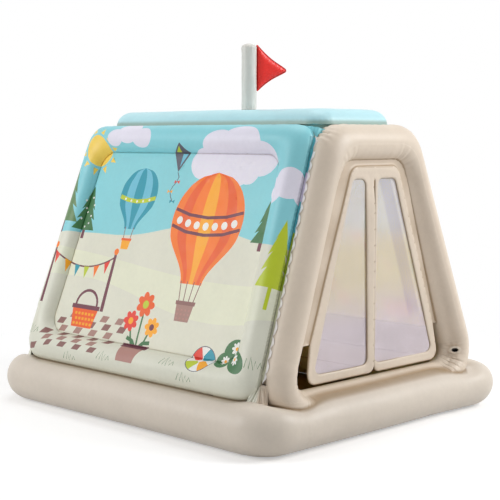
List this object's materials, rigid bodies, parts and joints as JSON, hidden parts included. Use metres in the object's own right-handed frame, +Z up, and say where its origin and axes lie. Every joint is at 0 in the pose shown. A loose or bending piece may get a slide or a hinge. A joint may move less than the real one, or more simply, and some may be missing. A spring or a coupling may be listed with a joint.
{
  "type": "play tent",
  "caption": "Inflatable indoor play tent for children: a ring base, leaning printed side walls, a roof cushion with a flag, and a slit door with netted panes",
  "frame": {"origin": "centre of the bounding box on the floor, under the ring", "axes": "+Z up; the door is in the -Y end, so a child crawls in along +Y; +Y is the longest horizontal direction and +X the shortest, with the left wall at -X"},
  "size_m": [1.12, 1.27, 1.1658],
  "materials": {
    "cream_vinyl": "glossy cream vinyl with a slight sheen",
    "print_vinyl": "glossy printed vinyl in sky blue and cream",
    "roof_vinyl": "glossy aqua vinyl",
    "flag_vinyl": "glossy red vinyl",
    "net_mesh": "fine pale netting",
    "valve_vinyl": "clear-cream moulded vinyl",
    "plug_vinyl": "dark moulded vinyl"
  },
  "bodies": {
    "tent": {"base_ring": "cream_vinyl", "floor_sheet": "cream_vinyl", "front_frame": "cream_vinyl", "back_frame": "cream_vinyl", "back_wall_sheet": "cream_vinyl", "left_wall_tube": "print_vinyl", "right_wall_tube": "print_vinyl", "left_wall_sheet": "print_vinyl", "right_wall_sheet": "print_vinyl", "roof_cushion": "roof_vinyl", "flag_pole": "cream_vinyl", "flag": "flag_vinyl", "corner_weld_front_left": "cream_vinyl", "corner_weld_front_right": "cream_vinyl", "corner_weld_back_left": "cream_vinyl", "corner_weld_back_right": "cream_vinyl", "door_panel_left": "cream_vinyl", "door_net_left": "net_mesh", "door_panel_right": "cream_vinyl", "door_net_right": "net_mesh", "front_frame_valve": "valve_vinyl", "back_frame_valve": "valve_vinyl", "left_wall_valve": "valve_vinyl", "right_wall_valve": "valve_vinyl", "ring_valve": "valve_vinyl", "roof_valve": "valve_vinyl"},
    "flap_left": {"door_flap_left": "cream_vinyl", "door_flap_net_left": "net_mesh"},
    "flap_right": {"door_flap_right": "cream_vinyl", "door_flap_net_right": "net_mesh"},
    "front_frame_plug": {"front_frame_valve_plug": "plug_vinyl"},
    "back_frame_plug": {"back_frame_valve_plug": "plug_vinyl"},
    "left_wall_plug": {"left_wall_valve_plug": "plug_vinyl"},
    "right_wall_plug": {"right_wall_valve_plug": "plug_vinyl"},
    "ring_plug": {"ring_valve_plug": "plug_vinyl"},
    "roof_plug": {"roof_valve_plug": "plug_vinyl"}
  },
  "joints": [
    {"name": "fold_left", "type": "hinge", "parent": "tent", "child": "flap_left", "pos_m": [-0.296, -0.537, 0.166], "axis": [-0.4596, 0, -0.8881], "range_deg": [-75, 105]},
    {"name": "fold_right", "type": "hinge", "parent": "tent", "child": "flap_right", "pos_m": [0.331, -0.537, 0.166], "axis": [-0.5009, 0, 0.8655], "range_deg": [-75, 105]},
    {"name": "front_frame_plug_pull", "type": "slide", "parent": "tent", "child": "front_frame_plug", "axis": [-0.6817, -0.6979, -0.2198], "range_m": [0, 0.02]},
    {"name": "back_frame_plug_pull", "type": "slide", "parent": "tent", "child": "back_frame_plug", "axis": [0.6817, 0.6979, -0.2198], "range_m": [0, 0.02]},
    {"name": "left_wall_plug_pull", "type": "slide", "parent": "tent", "child": "left_wall_plug", "axis": [0.6354, -0.7231, -0.2708], "range_m": [0, 0.02]},
    {"name": "right_wall_plug_pull", "type": "slide", "parent": "tent", "child": "right_wall_plug", "axis": [-0.6354, -0.7231, -0.2708], "range_m": [0, 0.02]},
    {"name": "ring_plug_pull", "type": "slide", "parent": "tent", "child": "ring_plug", "axis": [0, 0.9397, 0.342], "range_m": [0, 0.02]},
    {"name": "roof_plug_pull", "type": "slide", "parent": "tent", "child": "roof_plug", "axis": [0, 0.6416, 0.7671], "range_m": [0, 0.02]}
  ]
}
